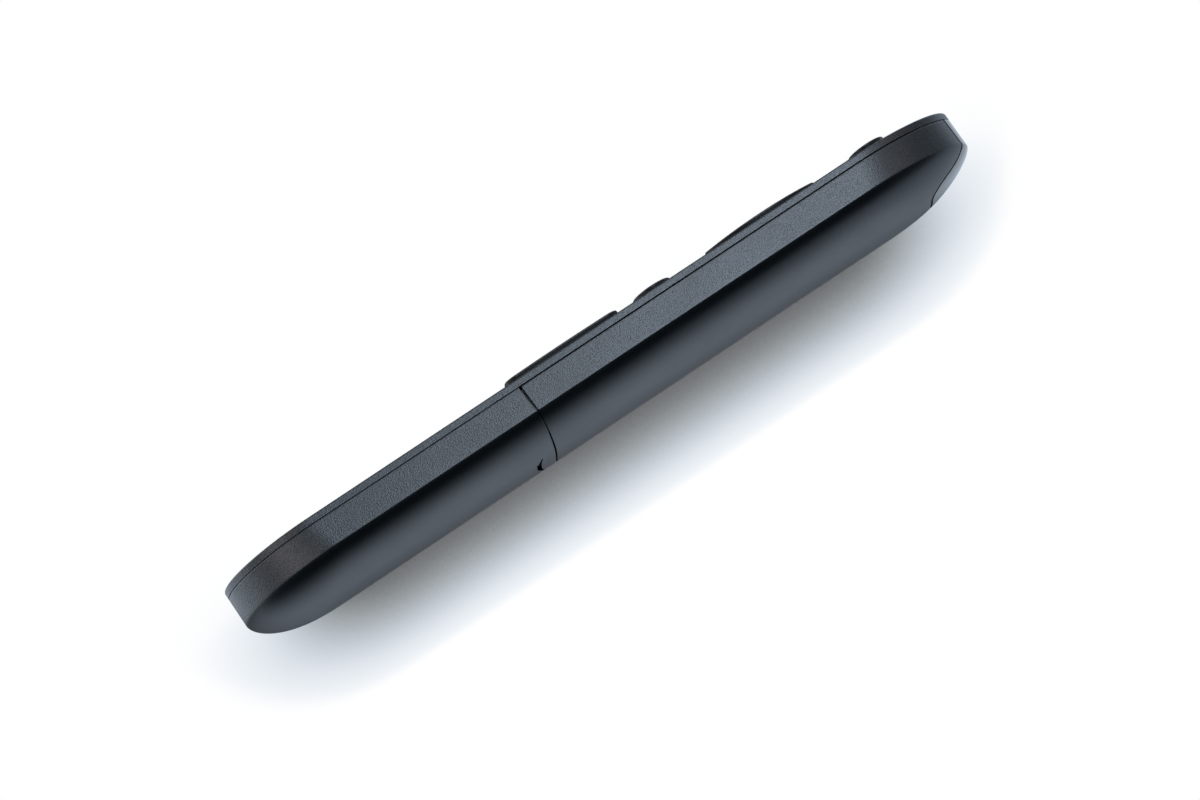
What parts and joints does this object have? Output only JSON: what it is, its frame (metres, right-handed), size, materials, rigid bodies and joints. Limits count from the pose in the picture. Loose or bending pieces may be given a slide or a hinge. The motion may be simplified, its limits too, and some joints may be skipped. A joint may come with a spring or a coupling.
{
  "type": "remote control",
  "caption": "Slim hand-held remote control with a flared boat-shaped housing, press keys, two rockers, an infra-red window and a battery boot that slides off over its cells.",
  "frame": {"origin": "centre of the footprint at the flat strip that the remote rests on", "axes": "+Y towards the infra-red nose, +Z out of the key face, +X to the right-hand side"},
  "size_m": [0.047, 0.18, 0.0161],
  "materials": {
    "top_cover_plastic": "fine-grained charcoal, satin",
    "shell_plastic": "fine-grained charcoal, satin",
    "tray_plastic": "moulded black, satin",
    "window_plastic": "polished dark infra-red filter",
    "board_laminate": "green solder mask",
    "mat_rubber": "grey silicone rubber",
    "pill_rubber": "carbon-filled rubber",
    "chip_plastic": "moulded black epoxy",
    "resonator_coat": "dipped ochre coating",
    "capacitor_sleeve": "dark blue shrink sleeve",
    "diode_plastic": "tinted clear resin",
    "contact_steel": "nickel-plated spring steel",
    "cell_jacket": "printed film over a steel can",
    "screw_steel": "zinc-plated steel",
    "key_plastic": "smooth black satin"
  },
  "bodies": {
    "housing": {"top_cover": "top_cover_plastic", "rear_shell": "shell_plastic", "battery_tray": "tray_plastic", "ir_window": "window_plastic", "circuit_board": "board_laminate", "keypad_mat": "mat_rubber", "contact_pills": "pill_rubber", "controller_chip": "chip_plastic", "resonator": "resonator_coat", "storage_capacitor": "capacitor_sleeve", "ir_diodes": "diode_plastic", "front_contacts": "contact_steel", "tail_contact": "contact_steel", "contact_springs": "contact_steel", "left_cell": "cell_jacket", "right_cell": "cell_jacket", "case_screws": "screw_steel", "board_screws": "screw_steel"},
    "battery_boot": {"battery_boot": "shell_plastic"},
    "power_key": {"power_key": "key_plastic"},
    "source_key": {"source_key": "key_plastic"},
    "up_key": {"up_key": "key_plastic"},
    "down_key": {"down_key": "key_plastic"},
    "left_key": {"left_key": "key_plastic"},
    "right_key": {"right_key": "key_plastic"},
    "ok_key": {"ok_key": "key_plastic"},
    "back_key": {"back_key": "key_plastic"},
    "home_key": {"home_key": "key_plastic"},
    "menu_key": {"menu_key": "key_plastic"},
    "mute_key": {"mute_key": "key_plastic"},
    "play_key": {"play_key": "key_plastic"},
    "volume_rocker": {"volume_rocker": "key_plastic"},
    "channel_rocker": {"channel_rocker": "key_plastic"}
  },
  "joints": [
    {"name": "battery_boot_slide", "type": "slide", "parent": "housing", "child": "battery_boot", "axis": [0, -1, 0], "range_m": [0, 0.085]},
    {"name": "power_key_press", "type": "slide", "parent": "housing", "child": "power_key", "axis": [0, 0, -1], "range_m": [0, 0.0004], "stiffness_N_per_m": 900, "springref_m": -0.0006},
    {"name": "source_key_press", "type": "slide", "parent": "housing", "child": "source_key", "axis": [0, 0, -1], "range_m": [0, 0.0004], "stiffness_N_per_m": 900, "springref_m": -0.0006},
    {"name": "up_key_press", "type": "slide", "parent": "housing", "child": "up_key", "axis": [0, 0, -1], "range_m": [0, 0.0004], "stiffness_N_per_m": 900, "springref_m": -0.0006},
    {"name": "down_key_press", "type": "slide", "parent": "housing", "child": "down_key", "axis": [0, 0, -1], "range_m": [0, 0.0004], "stiffness_N_per_m": 900, "springref_m": -0.0006},
    {"name": "left_key_press", "type": "slide", "parent": "housing", "child": "left_key", "axis": [0, 0, -1], "range_m": [0, 0.0004], "stiffness_N_per_m": 900, "springref_m": -0.0006},
    {"name": "right_key_press", "type": "slide", "parent": "housing", "child": "right_key", "axis": [0, 0, -1], "range_m": [0, 0.0004], "stiffness_N_per_m": 900, "springref_m": -0.0006},
    {"name": "ok_key_press", "type": "slide", "parent": "housing", "child": "ok_key", "axis": [0, 0, -1], "range_m": [0, 0.0004], "stiffness_N_per_m": 900, "springref_m": -0.0006},
    {"name": "back_key_press", "type": "slide", "parent": "housing", "child": "back_key", "axis": [0, 0, -1], "range_m": [0, 0.0004], "stiffness_N_per_m": 900, "springref_m": -0.0006},
    {"name": "home_key_press", "type": "slide", "parent": "housing", "child": "home_key", "axis": [0, 0, -1], "range_m": [0, 0.0004], "stiffness_N_per_m": 900, "springref_m": -0.0006},
    {"name": "menu_key_press", "type": "slide", "parent": "housing", "child": "menu_key", "axis": [0, 0, -1], "range_m": [0, 0.0004], "stiffness_N_per_m": 900, "springref_m": -0.0006},
    {"name": "mute_key_press", "type": "slide", "parent": "housing", "child": "mute_key", "axis": [0, 0, -1], "range_m": [0, 0.0004], "stiffness_N_per_m": 900, "springref_m": -0.0006},
    {"name": "play_key_press", "type": "slide", "parent": "housing", "child": "play_key", "axis": [0, 0, -1], "range_m": [0, 0.0004], "stiffness_N_per_m": 900, "springref_m": -0.0006},
    {"name": "volume_rocker_tilt", "type": "hinge", "parent": "housing", "child": "volume_rocker", "pos_m": [-0.0126, -0.0057, 0.0118], "axis": [1, 0, 0], "range_deg": [-2.2, 2.2], "stiffness_Nm_per_rad": 0.12},
    {"name": "channel_rocker_tilt", "type": "hinge", "parent": "housing", "child": "channel_rocker", "pos_m": [0.0126, -0.0057, 0.0118], "axis": [1, 0, 0], "range_deg": [-2.2, 2.2], "stiffness_Nm_per_rad": 0.12}
  ]
}
